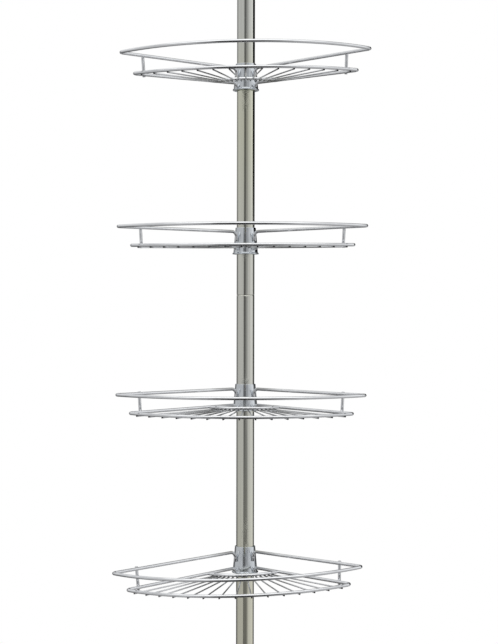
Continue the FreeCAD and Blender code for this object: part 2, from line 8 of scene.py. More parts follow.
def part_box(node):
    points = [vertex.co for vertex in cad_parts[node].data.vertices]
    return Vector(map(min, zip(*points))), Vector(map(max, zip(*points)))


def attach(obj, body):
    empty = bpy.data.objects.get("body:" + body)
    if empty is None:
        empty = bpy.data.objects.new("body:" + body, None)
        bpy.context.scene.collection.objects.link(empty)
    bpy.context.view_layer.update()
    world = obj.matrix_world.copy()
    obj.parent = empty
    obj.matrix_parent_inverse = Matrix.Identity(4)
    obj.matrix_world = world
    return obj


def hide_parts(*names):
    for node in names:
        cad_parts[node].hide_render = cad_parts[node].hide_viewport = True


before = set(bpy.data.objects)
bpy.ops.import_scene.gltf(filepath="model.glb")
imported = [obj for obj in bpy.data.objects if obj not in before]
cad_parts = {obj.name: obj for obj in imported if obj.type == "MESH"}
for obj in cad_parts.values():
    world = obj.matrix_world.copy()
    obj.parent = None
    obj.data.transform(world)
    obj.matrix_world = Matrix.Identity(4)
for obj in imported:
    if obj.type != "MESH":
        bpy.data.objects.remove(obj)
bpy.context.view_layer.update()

# A spring-loaded tension pole with four quarter-round wire baskets, for the corner of a shower.
# Metres. The frame's origin is the middle of the floor pad's underside, +Z runs up the pole, and
# the baskets open towards -Y.

# Each basket's turn about the pole and sideways lean in degrees, the planes of its rim and floor
# above the hub's foot, and how far its floor drops to the front in degrees.
Shelf = namedtuple("Shelf", "turn lean rim_plane base_plane droop")
SHELVES = {
    "shelf_1": Shelf(0.0, 1.0, 0.0264, 0.0085, 1.95),
    "shelf_2": Shelf(-1.4, 0.2, 0.0278, 0.0103, 1.6),
    "shelf_3": Shelf(-2.0, 0.1, 0.0274, 0.0078, 1.1),
    "shelf_4": Shelf(-3.4, 2.2, 0.0273, 0.0076, 1.1),
}

# ---------------------------------------------------------------- sizes
TUBE_RADIUS = 0.0111
TUBE_BORE = 0.0103
TUBE_CHAMFER = 0.00070
TUBE_CHAMFER_HEIGHT = 0.0010
TUBE_EDGE = 0.00012
TUBE_DENTS = 6
TUBE_DENT = 0.0008
TUBE_DENT_TURN = math.radians(18)
INNER_TUBE_RADIUS = 0.0095
INNER_TUBE_BORE = 0.0087
COLLAR_RADIUS = 0.0127
COLLAR_BORE = 0.0097
COLLAR_OVERLAP = 0.012
COLLAR_LOWER_BAND = 0.0014                # plain below the flutes
COLLAR_UPPER_BAND = 0.0024                # plain above them
COLLAR_FLUTES = 20
FLUTE_RUN_OUT = 0.0016
FLUTE_DEPTH = 0.00035
SOCKET_FOOT = 0.022
SOCKET_FLANGE = 0.003
SOCKET_NECK = 0.0165
SOCKET_SHOULDER = 0.0065
SOCKET_MOUTH = 0.0134
SOCKET_BORE = 0.01115
SOCKET_FLOOR = 0.005
SOCKET_BAND = 0.0045
CEILING_BORE = 0.0099
CEILING_DEPTH = 0.027
PLUNGER_RADIUS = 0.0079
PLUNGER_FLANGE = 0.004
PLUNGER_FLANGE_RADIUS = 0.0084
PLUNGER_BORE = 0.0055
PLUNGER_FLOOR = 0.008
PLUNGER_POCKET = 0.032
PAD_RADIUS = 0.026
PAD_RIM = 0.0248
PAD_EDGE = 0.0012
PAD_SCALLOPS = 36
SCALLOP_DEPTH = 0.0003
TREAD_RADII = (0.0140, 0.0160)
TREAD_DEPTH = 0.001

HUB_TOP_RADIUS = 0.0126
HUB_TOP_BORE = 0.01175
HUB_FOOT_RADIUS = 0.0152
HUB_FOOT_BORE = 0.0143
HUB_FOOT_HEIGHT = 0.0026
HUB_LIP_RADIUS = 0.0164
HUB_LIP_HEIGHT = 0.0016
HUB_SLOT_WIDTH = 0.0018
HUB_SLOT_DEPTH = 0.008
HUB_EDGE = 0.00022
HUB_COLUMNS = 120
HUB_ROWS = 24

WIRE_RADIUS = 0.0019
GRID_WIRE_RADIUS = 0.00085
POST_RADIUS = 0.00175
WIRE_SIDES = 24
GRID_SIDES = 16
CUT_EDGE = 0.0003
ARM_ANGLE = math.radians(45)
CORNER_RADIUS = 0.006
RIM_FRONT = 0.2113
RIM_ARC_RADIUS = 0.1902
RIM_HOOK = (0.02255, 0.007, 0.005)        # where the bend starts, its radius, the run below it
BASE_FRONT = 0.1818
BASE_ARC_RADIUS = 0.195
BASE_HOOK = (0.0212, 0.0046, 0.0004)
INNER_ARC_RADIUS = 0.0605
INNER_ARC_HALF_ANGLE = math.radians(43.55)
GRID_EACH_SIDE = 7
GRID_BACK_STEP = math.radians(5.25)
GRID_FRONT_STEP = math.radians(5.41)
GRID_BACK_OVERHANG = 0.0024
GRID_FRONT_OVERHANG = 0.0012
GRID_DROP = 0.00245
POST_DISTANCES = {-1: 0.1645, 1: 0.1618}    # of the left and the right post's foot, along the arm
POST_LEAN = math.radians(4)
POST_OFFSET = 0.00335
POST_ABOVE_RIM = 0.0023
POST_BELOW_BASE = 0.0064
LEAN_PIVOT = 0.012
CROSS_WELD = (0.0012, 0.0011, 0.0006)     # half sizes of the bead where two wires cross
POST_WELD = (0.0016, 0.0011, 0.0020)
ARC_WELD = (0.0017, 0.0022, 0.0015)

FLOOR_RADIUS = 1.25
FLOOR_CLEAR_RADIUS = 0.55                 # inside it the floor is solid, outside it fades away


# ---------------------------------------------------------------- mesh helpers
def grid_faces(mesh, rows, across_closed=True, along_closed=False):
    """Join rows of vertices with four-sided faces."""
    count = len(rows[0])
    last_row = len(rows) if along_closed else len(rows) - 1
    last_column = count if across_closed else count - 1
    for row in range(last_row):
        here = rows[row]
        there = rows[(row + 1) % len(rows)]
        for column in range(last_column):
            beside = (column + 1) % count
            mesh.faces.new((here[column], here[beside], there[beside], there[column]))


def sweep(mesh, path, radius, sides):
    """A round wire along a path of points, with the edges of its cut ends slightly rounded."""
    points = [Vector(point) for point in path]
    first = (points[1] - points[0]).normalized()
    last = (points[-1] - points[-2]).normalized()
    slim = radius - CUT_EDGE
    halfway = radius - CUT_EDGE * 0.3
    stations = [(points[0], slim), (points[0] + first * CUT_EDGE * 0.3, halfway),
                (points[0] + first * CUT_EDGE, radius)]
    stations += [(point, radius) for point in points[1:-1]]
    stations += [(points[-1] - last * CUT_EDGE, radius),
                 (points[-1] - last * CUT_EDGE * 0.3, halfway), (points[-1], slim)]
    tangents = []
    for index in range(len(stations)):
        before = stations[max(index - 1, 0)][0]
        after = stations[min(index + 1, len(stations) - 1)][0]
        tangents.append((after - before).normalized())
    side = tangents[0].orthogonal().normalized()
    rows = []
    for index, (centre, ring_radius) in enumerate(stations):
        if index:
            side = tangents[index - 1].rotation_difference(tangents[index]) @ side
        other = tangents[index].cross(side)
        row = []
        for step in range(sides):
            angle = 2 * math.pi * step / sides
            offset = side * math.cos(angle) + other * math.sin(angle)
            row.append(mesh.verts.new(centre + offset * ring_radius))
        rows.append(row)
    grid_faces(mesh, rows)
    mesh.faces.new(rows[0])
    mesh.faces.new(rows[-1])


def bead(mesh, place, half_sizes):
    """A small weld bead: an ellipsoid with a slightly uneven surface."""
    made = bmesh.ops.create_icosphere(mesh, subdivisions=2, radius=1)
    stretch = Matrix.Diagonal((*half_sizes, 1))
    for vertex in made["verts"]:
        ripple = 1 + 0.06 * math.sin(7 * vertex.co.x + 5 * vertex.co.z)
        vertex.co = place @ stretch @ (vertex.co * ripple)


def rounded_outline(corners, steps=4):
    """An outline of (radius, height, edge radius) corners, with each edge radius as an arc."""
    points = []
    count = len(corners)
    for index, (radius, height, edge) in enumerate(corners):
        here = Vector((radius, height))
        if edge == 0:
            points.append(here)
            continue
        to_before = (Vector(corners[index - 1][:2]) - here).normalized()
        to_after = (Vector(corners[(index + 1) % count][:2]) - here).normalized()
        inside = to_before.angle(to_after)
        centre = here + (to_before + to_after).normalized() * edge / math.sin(inside / 2)
        from_centre = here + to_before * edge / math.tan(inside / 2) - centre
        to_centre = here + to_after * edge / math.tan(inside / 2) - centre
        turn = math.pi - inside
        for step in range(steps + 1):
            share = step / steps
            blend = from_centre * math.sin((1 - share) * turn) + to_centre * math.sin(share * turn)
            points.append(centre + blend / math.sin(turn))
    return points


def lathe(mesh, corners, sides=128):
    """Turn an outline about the pole's axis. An outline that starts on the axis stays open there."""
    outline = rounded_outline(corners)
    verts = [mesh.verts.new((point.x, 0, point.y)) for point in outline]
    edges = [mesh.edges.new((verts[index], verts[index + 1])) for index in range(len(verts) - 1)]
    if outline[0].x > 0:
        edges.append(mesh.edges.new((verts[-1], verts[0])))
    bmesh.ops.spin(mesh, geom=verts + edges, cent=(0, 0, 0), axis=(0, 0, 1), dvec=(0, 0, 0),
                   angle=2 * math.pi, steps=sides, use_merge=True, use_duplicate=False)
    bmesh.ops.remove_doubles(mesh, verts=mesh.verts, dist=1e-7)


def flute(mesh, count, depth, low, high, smallest):
    """Press shallow rounded grooves into the outside of a turned piece, between two heights."""
    for vertex in mesh.verts:
        radius = math.hypot(vertex.co.x, vertex.co.y)
        if low < vertex.co.z < high and radius > smallest:
            angle = math.atan2(vertex.co.y, vertex.co.x)
            press = depth * math.sin(count * angle / 2) ** 8
            vertex.co.x *= 1 - press / radius
            vertex.co.y *= 1 - press / radius


def finish_piece(mesh, name, body, nodes, material, flat_edges=True):
    """Make the object, shade it, give it its material and tie it to its body and CAD nodes."""
    bmesh.ops.recalc_face_normals(mesh, faces=mesh.faces)
    data = bpy.data.meshes.new(name)
    mesh.to_mesh(data)
    mesh.free()
    data.polygons.foreach_set("use_smooth", [True] * len(data.polygons))
    data.materials.append(material)
    piece = bpy.data.objects.new(name, data)
    bpy.context.scene.collection.objects.link(piece)
    if flat_edges:
        data.set_sharp_from_angle(angle=math.radians(35))
        normals = piece.modifiers.new("even_shading", "WEIGHTED_NORMAL")
        normals.keep_sharp = True
    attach(piece, body)
    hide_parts(*nodes)
    return piece


# ---------------------------------------------------------------- node helpers
def add_node(tree, kind, inputs=None, **settings):
    """A shader node with its settings, and with each named input linked or set."""
    node = tree.nodes.new(kind)
    for name, value in settings.items():
        setattr(node, name, value)
    for name, value in (inputs or {}).items():
        if isinstance(value, bpy.types.NodeSocket):
            tree.links.new(value, node.inputs[name])
        else:
            node.inputs[name].default_value = value
    return node


def ramp(tree, factor, stops):
    """A colour ramp through (position, colour) stops."""
    node = add_node(tree, "ShaderNodeValToRGB", {"Fac": factor})
    elements = node.color_ramp.elements
    while len(elements) < len(stops):
        elements.new(0.5)
    for element, (position, colour) in zip(elements, stops):
        element.position = position
        element.color = (*colour, 1)
    return node.outputs["Color"]


def texture_space(tree, scale):
    """The piece's own coordinates, stretched by a scale for each axis."""
    coordinates = add_node(tree, "ShaderNodeTexCoord")
    mapping = add_node(tree, "ShaderNodeMapping",
                       {"Vector": coordinates.outputs["Object"], "Scale": scale})
    return mapping.outputs["Vector"]


def noise(tree, scale, detail=3.0, roughness=0.55):
    """Fractal noise in the piece's own coordinates."""
    node = add_node(tree, "ShaderNodeTexNoise", {
        "Vector": texture_space(tree, scale), "Scale": 1.0, "Detail": detail, "Roughness": roughness})
    return node.outputs["Fac"]


def spread(tree, value, low, high, source_low=0.3, source_high=0.7):
    """Stretch a noise value to the range from low to high."""
    node = add_node(tree, "ShaderNodeMapRange", {
        "Value": value, "From Min": source_low, "From Max": source_high,
        "To Min": low, "To Max": high})
    return node.outputs["Result"]


def add_values(tree, first, second):
    """The sum of two values."""
    node = add_node(tree, "ShaderNodeMath", {0: first, 1: second}, operation="ADD")
    return node.outputs["Value"]


def new_material(name, metallic, **constants):
    """A material with one Principled shader, whose even values are set on its own sockets."""
    material = bpy.data.materials.new(name)
    material.use_nodes = True
    tree = material.node_tree
    tree.nodes.clear()
    shader = add_node(tree, "ShaderNodeBsdfPrincipled", {"Metallic": metallic})
    for socket, value in constants.items():
        shader.inputs[socket.replace("_", " ")].default_value = value
    output = add_node(tree, "ShaderNodeOutputMaterial")
    tree.links.new(shader.outputs["BSDF"], output.inputs["Surface"])
    return material, tree, shader


def set_surface(tree, shader, colour, roughness, height, bump_strength, bump_distance):
    """Link the colour, the roughness and a bump."""
    bump = add_node(tree, "ShaderNodeBump", {
        "Height": height, "Strength": bump_strength, "Distance": bump_distance})
    tree.links.new(colour, shader.inputs["Base Color"])
    tree.links.new(roughness, shader.inputs["Roughness"])
    tree.links.new(bump.outputs["Normal"], shader.inputs["Normal"])


# ---------------------------------------------------------------- materials
# The tint of the tubes, warmer in places up their length: (share of TINTED_LENGTH, colour).
TINTED_LENGTH = 1.5
TUBE_TINT_BY_HEIGHT = [
    (0.24, (0.98, 0.96, 0.84)), (0.34, (1.0, 1.0, 0.93)), (0.42, (1.0, 1.0, 0.97)),
    (0.52, (1.0, 1.0, 0.97)), (0.58, (1.0, 1.0, 0.92)), (0.64, (1.0, 1.0, 0.86)),
    (0.68, (1.0, 1.0, 0.89)), (0.72, (1.0, 1.01, 1.0)),
]
# Painted shade on the wires' chrome, near the hub and under the arcs: (distance in metres, brightness).
PAINTED_SHADE_PER_METRE = 5
# Painted shade on the arms and hooks near the hub.
HUB_PAINTED_SHADE = [(0.018, 0.85), (0.024, 0.50), (0.036, 0.58), (0.062, 1.0)]
# Painted shade on the floor wires under the inner arc, and at their front ends under the floor's edge wire.
FLOOR_WIRE_PAINTED_SHADE = [
    (0.0685, 0.30), (0.078, 0.35), (0.086, 0.95), (0.1900, 0.95), (0.1925, 0.55), (0.1949, 0.45),
    (0.1955, 0.02),
]


def steel_tube_material(name, dark, light):
    """Polished stainless tube: polishing grain, wide faint bands, smudges and a warmer tint in places up
    its height.
    """
    material, tree, shader = new_material(name, 1.0)
    along = texture_space(tree, (1, 1, 1 / TINTED_LENGTH))
    height = add_node(tree, "ShaderNodeSeparateXYZ", {"Vector": along})
    tint_by_place = ramp(tree, height.outputs["Z"], TUBE_TINT_BY_HEIGHT)
    grain = noise(tree, (1600, 1600, 14), 4)
    bands = noise(tree, (260, 260, 1.5), 2)
    smudges = noise(tree, (38, 38, 22), 3)
    colour = ramp(tree, bands, [(0.32, dark), (0.68, light)])
    tinted = add_node(tree, "ShaderNodeMix", {"Factor": 1.0, "A": colour, "B": tint_by_place},
                       data_type="RGBA", blend_type="MULTIPLY")
    roughness = add_values(tree, spread(tree, grain, 0.07, 0.13), spread(tree, smudges, 0.0, 0.04))
    set_surface(tree, shader, tinted.outputs["Result"], roughness, grain, 0.03, 0.0001)
    return material


def chrome_wire_material(name, painted_shade_stops, centre=0.0):
    """Bright chrome plating on drawn wire: a faint ripple, fine haze, dried water spots and painted shade.

    The painted shade darkens the plating near the hub and on the floor wires under the arcs. Its
    distances are from the pole's axis, or from the upright line that lies this far behind it.
    """
    material, tree, shader = new_material(name, 1.0)
    ripple = noise(tree, (420, 420, 420), 3)
    haze = noise(tree, (90, 90, 90), 4)
    spots = add_node(tree, "ShaderNodeTexVoronoi", {
        "Vector": texture_space(tree, (210, 210, 210)), "Scale": 1.0, "Randomness": 1.0})
    spot_haze = spread(tree, spots.outputs["Distance"], 0.07, 0.0, 0.10, 0.22)
    plating = ramp(tree, haze, [(0.30, (0.80, 0.81, 0.83)), (0.70, (0.90, 0.91, 0.925))])
    # Painted shade, set by distance from an upright line the given distance behind the pole's axis.
    across = texture_space(tree, (PAINTED_SHADE_PER_METRE, PAINTED_SHADE_PER_METRE, 0))
    distance = add_node(tree, "ShaderNodeVectorMath", {
        0: across, 1: (0, PAINTED_SHADE_PER_METRE * centre, 0)}, operation="DISTANCE")
    tint_by_place = ramp(tree, distance.outputs["Value"],
                 [(PAINTED_SHADE_PER_METRE * reach, (brightness,) * 3) for reach, brightness in painted_shade_stops])
    colour = add_node(tree, "ShaderNodeMix", {"Factor": 1.0, "A": plating, "B": tint_by_place},
                      data_type="RGBA", blend_type="MULTIPLY").outputs["Result"]
    roughness = add_values(tree, spread(tree, haze, 0.05, 0.10), spot_haze)
    set_surface(tree, shader, colour, roughness, ripple, 0.05, 0.0002)
    return material


def chrome_hub_material():
    """Satin chrome on pressed sheet: rings left by polishing, bluish, with a soft haze."""
    material, tree, shader = new_material("chrome_hub", 1.0)
    rings = noise(tree, (35, 35, 2600), 3)
    haze = noise(tree, (140, 140, 140), 3)
    colour = ramp(tree, haze, [(0.30, (0.70, 0.735, 0.765)), (0.70, (0.78, 0.815, 0.845))])
    roughness = add_values(tree, spread(tree, rings, 0.08, 0.12), spread(tree, haze, 0.0, 0.03))
    set_surface(tree, shader, colour, roughness, rings, 0.02, 0.0001)
    return material


def moulded_material(name, dark, light, grain_size, rough, **constants):
    """Moulded plastic or rubber: a fine spark-eroded grain and a slight mottle in its colour."""
    material, tree, shader = new_material(name, 0.0, **constants)
    grain = noise(tree, (1 / grain_size,) * 3, 4)
    mottle = noise(tree, (70, 70, 70), 3)
    colour = ramp(tree, mottle, [(0.3, dark), (0.7, light)])
    roughness = add_values(tree, spread(tree, grain, rough, rough + 0.12),
                           spread(tree, mottle, 0.0, 0.08))
    set_surface(tree, shader, colour, roughness, grain, 0.25, 0.0001)
    return material


def plain_steel_material():
    """Zinc-plated steel: dull, with the small crystals of the plating."""
    material, tree, shader = new_material("plain_steel", 1.0)
    crystals = add_node(tree, "ShaderNodeTexVoronoi", {
        "Vector": texture_space(tree, (600, 600, 600)), "Scale": 1.0})
    haze = noise(tree, (120, 120, 120), 3)
    colour = ramp(tree, crystals.outputs["Distance"],
                  [(0.1, (0.52, 0.53, 0.54)), (0.8, (0.66, 0.66, 0.65))])
    set_surface(tree, shader, colour, spread(tree, haze, 0.3, 0.45), haze, 0.1, 0.0001)
    return material


MATERIALS = {
    "steel_tube": steel_tube_material("steel_tube", (0.66, 0.66, 0.62), (0.78, 0.78, 0.74)),
    # The wires' chrome, with painted shade near the hub.
    "chrome_wire": chrome_wire_material("chrome_wire", HUB_PAINTED_SHADE),
    # The floor wires' chrome, with painted shade under the arcs.
    "floor_wire_painted_shade": chrome_wire_material("floor_wire_painted_shade", FLOOR_WIRE_PAINTED_SHADE, BASE_ARC_RADIUS - BASE_FRONT),
    "chrome_hub": chrome_hub_material(),
    "clip_plastic": moulded_material(
        "clip_plastic", (0.50, 0.52, 0.53), (0.60, 0.62, 0.63), 0.0004, 0.35,
        Subsurface_Weight=0.1, Subsurface_Scale=0.001),
    "grey_plastic": moulded_material(
        "grey_plastic", (0.27, 0.28, 0.29), (0.33, 0.34, 0.35), 0.0005, 0.36),
    "nylon": moulded_material(
        "nylon", (0.72, 0.71, 0.67), (0.82, 0.81, 0.77), 0.0006, 0.3,
        Subsurface_Weight=0.15, Subsurface_Scale=0.001),
    "plain_steel": plain_steel_material(),
    "rubber_pad": moulded_material(
        "rubber_pad", (0.045, 0.047, 0.05), (0.075, 0.077, 0.08), 0.0007, 0.6),
}


# ---------------------------------------------------------------- the pole
def turned(name, body, node, slot, corners, shape=None):
    """One turned piece that stands for a CAD node. A shape function may press dents into it."""
    mesh = bmesh.new()
    lathe(mesh, corners)
    if shape:
        shape(mesh)
    return finish_piece(mesh, name, body, [node], MATERIALS[slot])


def heights(node):
    """The lowest and highest point of a CAD node."""
    low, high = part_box(node)
    return low.z, high.z


def dent_edge(mesh, top):
    """Press six shallow dents into a tube's chamfered top edge, as rolling leaves them."""
    for vertex in mesh.verts:
        radius = math.hypot(vertex.co.x, vertex.co.y)
        if vertex.co.z >= top - 2 * TUBE_CHAMFER_HEIGHT and radius > TUBE_RADIUS - 2 * TUBE_EDGE:
            angle = math.atan2(vertex.co.x, -vertex.co.y)
            lobe = max(math.cos(TUBE_DENTS * angle - TUBE_DENT_TURN), 0) ** 3
            vertex.co.z -= TUBE_DENT * lobe


def make_outer_tubes():
    """Two tubes that meet at a fine groove, and the fluted collar at the top."""
    foot, seam = heights("lower_tube")
    turned("lower_pole", "pole", "lower_tube", "steel_tube", [
        (TUBE_BORE, foot, TUBE_EDGE), (TUBE_RADIUS, foot, TUBE_EDGE),
        (TUBE_RADIUS, seam - TUBE_CHAMFER_HEIGHT, 3 * TUBE_EDGE),
        (TUBE_RADIUS - TUBE_CHAMFER, seam, TUBE_EDGE), (TUBE_BORE, seam, TUBE_EDGE)],
        lambda mesh: dent_edge(mesh, seam))
    seam, top = heights("upper_tube")
    turned("upper_pole", "pole", "upper_tube", "steel_tube", [
        (TUBE_BORE, seam, TUBE_EDGE), (TUBE_RADIUS - TUBE_EDGE, seam, TUBE_EDGE),
        (TUBE_RADIUS, seam + 2 * TUBE_EDGE, TUBE_EDGE), (TUBE_RADIUS, top, TUBE_EDGE),
        (TUBE_BORE, top, TUBE_EDGE)])
    foot, top = heights("guide_collar")
    shoulder = foot + COLLAR_OVERLAP
    lowest = foot + COLLAR_LOWER_BAND
    highest = top - COLLAR_UPPER_BAND
    turned("collar", "pole", "guide_collar", "grey_plastic", [
        (TUBE_RADIUS, foot, 0.0003), (COLLAR_RADIUS, foot, 0.0006), (COLLAR_RADIUS, lowest, 0),
        (COLLAR_RADIUS, lowest + FLUTE_RUN_OUT, 0), (COLLAR_RADIUS, highest - FLUTE_RUN_OUT, 0),
        (COLLAR_RADIUS, highest, 0), (COLLAR_RADIUS, top, 0.0012), (COLLAR_BORE, top, 0.0004),
        (COLLAR_BORE, shoulder, 0), (TUBE_RADIUS, shoulder, 0)],
        lambda mesh: flute(mesh, COLLAR_FLUTES, FLUTE_DEPTH, lowest + FLUTE_RUN_OUT / 2,
                           highest - FLUTE_RUN_OUT / 2, TUBE_RADIUS))


def make_inner_tube():
    """The thinner tube that slides in the upper one."""
    foot, top = heights("inner_tube")
    turned("telescoping_pole", "inner_tube", "inner_tube", "steel_tube", [
        (INNER_TUBE_BORE, foot, TUBE_EDGE), (INNER_TUBE_RADIUS, foot, TUBE_EDGE),
        (INNER_TUBE_RADIUS, top, TUBE_EDGE), (INNER_TUBE_BORE, top, TUBE_EDGE)])


def make_plunger():
    """The hollow nylon plunger under the ceiling socket."""
    foot, top = heights("plunger")
    turned("spring_plunger", "plunger", "plunger", "nylon", [
        (0, foot, 0), (PLUNGER_FLANGE_RADIUS, foot, 0.0005),
        (PLUNGER_FLANGE_RADIUS, foot + PLUNGER_FLANGE, 0.0002),
        (PLUNGER_RADIUS, foot + PLUNGER_FLANGE, 0.0002), (PLUNGER_RADIUS, top, 0.0004),
        (PLUNGER_BORE, top, 0.0004), (PLUNGER_BORE, foot + PLUNGER_FLOOR, 0.0005),
        (0, foot + PLUNGER_FLOOR, 0)])


def socket_side(face, direction):
    """The outside of a socket from its flange to its mouth, from the face that the pad is on."""
    return [
        (SOCKET_FOOT, face, 0.0006), (SOCKET_FOOT, face + direction * SOCKET_FLANGE, 0.0009),
        (SOCKET_NECK + 0.0006, face + direction * (SOCKET_FLANGE + 0.0006), 0.0016),
        (SOCKET_NECK, face + direction * SOCKET_SHOULDER, 0.0012)]


def socket_band(mouth, direction):
    """The raised band round a socket's mouth."""
    band_foot = mouth - direction * SOCKET_BAND
    return [
        (SOCKET_MOUTH - 0.0001, band_foot, 0.0004), (SOCKET_MOUTH + 0.0006, band_foot, 0.0003),
        (SOCKET_MOUTH + 0.0004, mouth, 0.0006)]


def make_sockets():
    """The cups at the floor and the ceiling, each with a raised band round its mouth."""
    foot, top = heights("floor_socket")
    turned("floor_cup", "pole", "floor_socket", "grey_plastic", [
        (0, foot, 0), *socket_side(foot, 1), *socket_band(top, 1), (SOCKET_BORE, top, 0.0003),
        (SOCKET_BORE, foot + SOCKET_FLOOR, 0), (0, foot + SOCKET_FLOOR, 0)])
    foot, top = heights("ceiling_socket")
    turned("ceiling_cup", "plunger", "ceiling_socket", "grey_plastic", [
        (0, top, 0), *socket_side(top, -1), *socket_band(foot, -1), (CEILING_BORE, foot, 0.0004),
        (CEILING_BORE, foot + CEILING_DEPTH, 0), (PLUNGER_RADIUS, foot + CEILING_DEPTH, 0),
        (PLUNGER_RADIUS, foot + PLUNGER_POCKET, 0), (0, foot + PLUNGER_POCKET, 0)])


def make_pads():
    """The rubber pads: scalloped sides and a ring-shaped tread."""
    for name, body, node, direction in (
            ("floor_rubber", "pole", "floor_pad", 1), ("ceiling_rubber", "plunger", "ceiling_pad", -1)):
        low, high = heights(node)
        outer_face = low if direction == 1 else high
        inner_face = high if direction == 1 else low
        groove = outer_face + direction * TREAD_DEPTH
        inner, outer = TREAD_RADII
        turned(name, body, node, "rubber_pad", [
            (0, outer_face, 0), (inner, outer_face, 0.0003), (inner, groove, 0.0003),
            (outer, groove, 0.0003), (outer, outer_face, 0.0003), (PAD_RIM, outer_face, 0.0006),
            (PAD_RADIUS, outer_face + direction * PAD_EDGE, 0.0006),
            (PAD_RADIUS, inner_face - direction * PAD_EDGE, 0.0006), (PAD_RIM, inner_face, 0.0006),
            (0, inner_face, 0)],
            lambda mesh: flute(mesh, PAD_SCALLOPS, SCALLOP_DEPTH, low + 0.0005, high - 0.0005, PAD_RIM))


# ---------------------------------------------------------------- the baskets
def hub_place(shelf):
    """Where a shelf's hub stands, turned about the pole."""
    foot = heights(shelf + "_hub")[0]
    return Matrix.Translation((0, 0, foot)) @ Matrix.Rotation(math.radians(SHELVES[shelf].turn), 4, "Z")


def wire_place(shelf):
    """Where a shelf's wires stand, leaning sideways about a point inside the hub."""
    pivot = Matrix.Translation((0, 0, LEAN_PIVOT))
    lean = Matrix.Rotation(math.radians(-SHELVES[shelf].lean), 4, "Y")
    return hub_place(shelf) @ pivot @ lean @ pivot.inverted()


def base_place(shelf):
    """The plane of the basket's floor, which drops towards the front."""
    drop = Matrix.Rotation(math.radians(SHELVES[shelf].droop), 4, "X")
    return wire_place(shelf) @ Matrix.Translation((0, 0, SHELVES[shelf].base_plane)) @ drop


def rim_place(shelf):
    """The plane of the rim."""
    return wire_place(shelf) @ Matrix.Translation((0, 0, SHELVES[shelf].rim_plane))


def arm_direction(side):
    """The direction of the left (-1) or right (1) arm, away from the hub."""
    return Vector((side * math.sin(ARM_ANGLE), -math.cos(ARM_ANGLE), 0))


def arc_points(centre, radius, start, end, steps):
    """Points on an arc in the plane of the wire."""
    points = []
    for step in range(steps + 1):
        angle = start + (end - start) * step / steps
        points.append(centre + Vector((math.cos(angle), math.sin(angle), 0)) * radius)
    return points


def hook_points(side, hook):
    """From the cut end beside the hub, up its side and round the bend to the arm."""
    start, bend, run = hook
    outward = arm_direction(side)
    points = [outward * (start - bend) - Vector((0, 0, bend + run))]
    for step in range(13):
        angle = math.pi - step / 12 * math.pi / 2
        rise = Vector((0, 0, bend * (math.sin(angle) - 1)))
        points.append(outward * (start + bend * math.cos(angle)) + rise)
    return points


def loop_path(front, arc_radius, hook):
    """Hook, arm, corner, front arc, corner, arm and hook, as one path."""
    left = arm_direction(-1)
    inward = Vector((math.cos(ARM_ANGLE), -math.sin(ARM_ANGLE), 0))
    arc_centre = Vector((0, arc_radius - front, 0))
    offset = inward * CORNER_RADIUS - arc_centre
    along = offset.dot(left)
    reach = -along + math.sqrt(along ** 2 - offset.length_squared + (arc_radius - CORNER_RADIUS) ** 2)
    left_centre = left * reach + inward * CORNER_RADIUS
    right_centre = Vector((-left_centre.x, left_centre.y, 0))
    left_end = math.atan2(left_centre.y - arc_centre.y, left_centre.x) + 2 * math.pi
    right_start = 3 * math.pi - left_end
    path = hook_points(-1, hook)
    path += arc_points(left_centre, CORNER_RADIUS, math.pi - ARM_ANGLE, left_end, 20)
    path += arc_points(arc_centre, arc_radius, left_end, right_start, 120)[1:-1]
    path += arc_points(right_centre, CORNER_RADIUS, right_start, 2 * math.pi + ARM_ANGLE, 20)
    path += reversed(hook_points(1, hook))
    return path


def moved(place, points):
    """The points, moved to their place."""
    return [place @ point for point in points]


def make_quarter_wires(shelf):
    """The rim and the edge of the floor."""
    for kind, place, front, arc_radius, hook in (
            ("rim", rim_place(shelf), RIM_FRONT, RIM_ARC_RADIUS, RIM_HOOK),
            ("base", base_place(shelf), BASE_FRONT, BASE_ARC_RADIUS, BASE_HOOK)):
        mesh = bmesh.new()
        sweep(mesh, moved(place, loop_path(front, arc_radius, hook)), WIRE_RADIUS, WIRE_SIDES)
        finish_piece(mesh, "%s_%s_loop" % (shelf, kind), shelf + "_basket",
                     ["%s_%s_wire" % (shelf, kind)], MATERIALS["chrome_wire"], False)


def make_inner_arc(shelf):
    """The short arc near the hub, with a bead at each end."""
    mesh = bmesh.new()
    place = base_place(shelf)
    middle = 1.5 * math.pi
    points = arc_points(Vector(), INNER_ARC_RADIUS, middle - INNER_ARC_HALF_ANGLE,
                        middle + INNER_ARC_HALF_ANGLE, 48)
    sweep(mesh, moved(place, points), WIRE_RADIUS, WIRE_SIDES)
    for side, end in ((-1, points[0]), (1, points[-1])):
        contact = end + (arm_direction(side) * INNER_ARC_RADIUS - end) * 0.3
        bead(mesh, place @ Matrix.Translation(contact) @ Matrix.Rotation(side * ARM_ANGLE, 4, "Z"),
             ARC_WELD)
    finish_piece(mesh, shelf + "_back_arc", shelf + "_basket", [shelf + "_inner_arc"],
                 MATERIALS["chrome_wire"], False)


